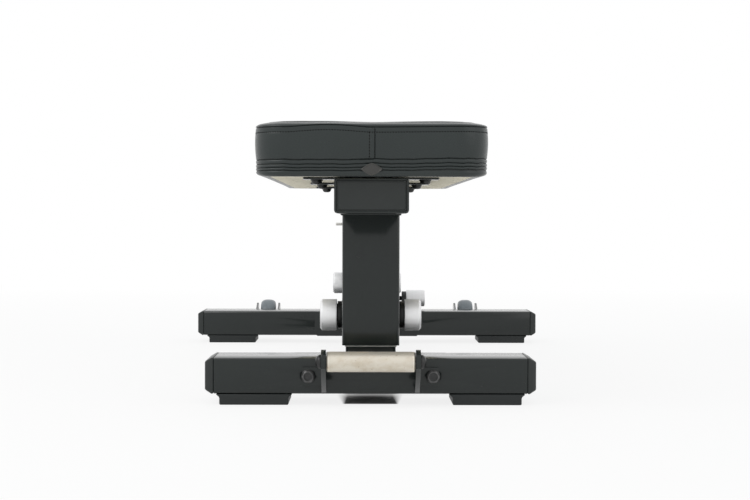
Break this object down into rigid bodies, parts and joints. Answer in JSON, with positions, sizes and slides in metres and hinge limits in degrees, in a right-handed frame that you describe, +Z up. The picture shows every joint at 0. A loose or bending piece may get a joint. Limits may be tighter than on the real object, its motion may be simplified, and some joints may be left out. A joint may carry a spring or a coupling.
{
  "type": "weight bench",
  "caption": "Flat padded weight bench on two height-adjustable posts with pull knobs, a carry grip at the front and wheels at the rear.",
  "frame": {"origin": "on the floor, below the middle of the whole bench", "axes": "+Z up, +Y from the grip end to the wheel end, +X to the right of someone facing the grip end"},
  "size_m": [0.703, 1.46, 0.388],
  "materials": {
    "powder_coat": "satin fine-textured powder coat",
    "black_plastic": "fine moulded texture",
    "foot_rubber": "matte moulded rubber",
    "black_zinc": "black zinc plating",
    "aluminium": "turned and clear anodised",
    "bright_steel": "ground, knurled on the grip",
    "nylon": "smooth",
    "wheel_rubber": "smooth cast tread",
    "plywood": "sanded",
    "leather": "fine grained upholstery leather"
  },
  "bodies": {
    "base": {"front_foot": "powder_coat", "rear_foot": "powder_coat", "front_foot_cap_left": "black_plastic", "front_foot_cap_right": "black_plastic", "rear_foot_cap_left": "black_plastic", "rear_foot_cap_right": "black_plastic", "front_foot_pad_left": "foot_rubber", "front_foot_pad_right": "foot_rubber", "rear_foot_pad_left": "foot_rubber", "rear_foot_pad_right": "foot_rubber", "lower_beam": "powder_coat", "joint_bolt_front_left": "black_zinc", "joint_bolt_front_right": "black_zinc", "joint_bolt_rear_left": "black_zinc", "joint_bolt_rear_right": "black_zinc", "front_upright": "powder_coat", "rear_upright": "powder_coat", "grip_bracket_left": "powder_coat", "grip_bracket_right": "powder_coat", "grip_bracket_bolt_left": "black_zinc", "grip_bracket_bolt_right": "black_zinc", "grip_bolt_left": "black_zinc", "grip_bolt_right": "black_zinc", "wheel_bracket_left": "powder_coat", "wheel_bracket_right": "powder_coat", "wheel_axle_left": "black_zinc", "wheel_axle_right": "black_zinc"},
    "carry_grip": {"grip": "bright_steel"},
    "wheel_left": {"tyre_left": "wheel_rubber", "hub_left": "black_plastic"},
    "wheel_right": {"tyre_right": "wheel_rubber", "hub_right": "black_plastic"},
    "upper_frame": {"spine": "powder_coat", "spine_cap_front": "black_plastic", "spine_cap_rear": "black_plastic", "front_sleeve": "powder_coat", "rear_sleeve": "powder_coat", "front_liner": "nylon", "rear_liner": "nylon", "cross_plate_front": "powder_coat", "cross_plate_middle": "powder_coat", "cross_plate_rear": "powder_coat", "pad_board": "plywood", "pad_cushion": "leather", "pad_badge": "black_plastic", "front_left_barrel": "black_zinc", "front_right_barrel": "black_zinc", "rear_left_barrel": "black_zinc", "rear_right_barrel": "black_zinc", "rear_sleeve_peg": "bright_steel"},
    "front_left_plunger": {"front_left_pin": "bright_steel", "front_left_knob": "aluminium"},
    "front_right_plunger": {"front_right_pin": "bright_steel", "front_right_knob": "aluminium"},
    "rear_left_plunger": {"rear_left_pin": "bright_steel", "rear_left_knob": "aluminium"},
    "rear_right_plunger": {"rear_right_pin": "bright_steel", "rear_right_knob": "aluminium"},
    "clamp_screw": {"clamp_stud": "black_zinc"},
    "clamp_handle": {"clamp_knob": "aluminium"}
  },
  "joints": [
    {"name": "height_slide", "type": "slide", "parent": "base", "child": "upper_frame", "axis": [0, 0, 1], "range_m": [0, 0.1]},
    {"name": "front_left_pin_slide", "type": "slide", "parent": "upper_frame", "child": "front_left_plunger", "axis": [1, 0, 0], "range_m": [0, 0.0065]},
    {"name": "front_right_pin_slide", "type": "slide", "parent": "upper_frame", "child": "front_right_plunger", "axis": [-1, 0, 0], "range_m": [0, 0.0065]},
    {"name": "rear_left_pin_slide", "type": "slide", "parent": "upper_frame", "child": "rear_left_plunger", "axis": [1, 0, 0], "range_m": [0, 0.0065]},
    {"name": "rear_right_pin_slide", "type": "slide", "parent": "upper_frame", "child": "rear_right_plunger", "axis": [-1, 0, 0], "range_m": [0, 0.0065]},
    {"name": "clamp_travel", "type": "slide", "parent": "upper_frame", "child": "clamp_screw", "axis": [1, 0, 0], "range_m": [0, 0.003]},
    {"name": "clamp_turn", "type": "hinge", "parent": "clamp_screw", "child": "clamp_handle", "pos_m": [0.0823, 0.61, 0.0905], "axis": [1, 0, 0], "range_deg": [0, 720]},
    {"name": "grip_turn", "type": "hinge", "parent": "base", "child": "carry_grip", "pos_m": [0, -0.653, 0.0633], "axis": [1, 0, 0], "continuous": true},
    {"name": "wheel_left_turn", "type": "hinge", "parent": "base", "child": "wheel_left", "pos_m": [-0.212, 0.698, 0.051], "axis": [1, 0, 0], "continuous": true},
    {"name": "wheel_right_turn", "type": "hinge", "parent": "base", "child": "wheel_right", "pos_m": [0.212, 0.698, 0.051], "axis": [1, 0, 0], "continuous": true}
  ],
  "couplings": [
    {"joint": "clamp_turn", "follows": "clamp_travel", "rad_per_m": 4188.8}
  ]
}
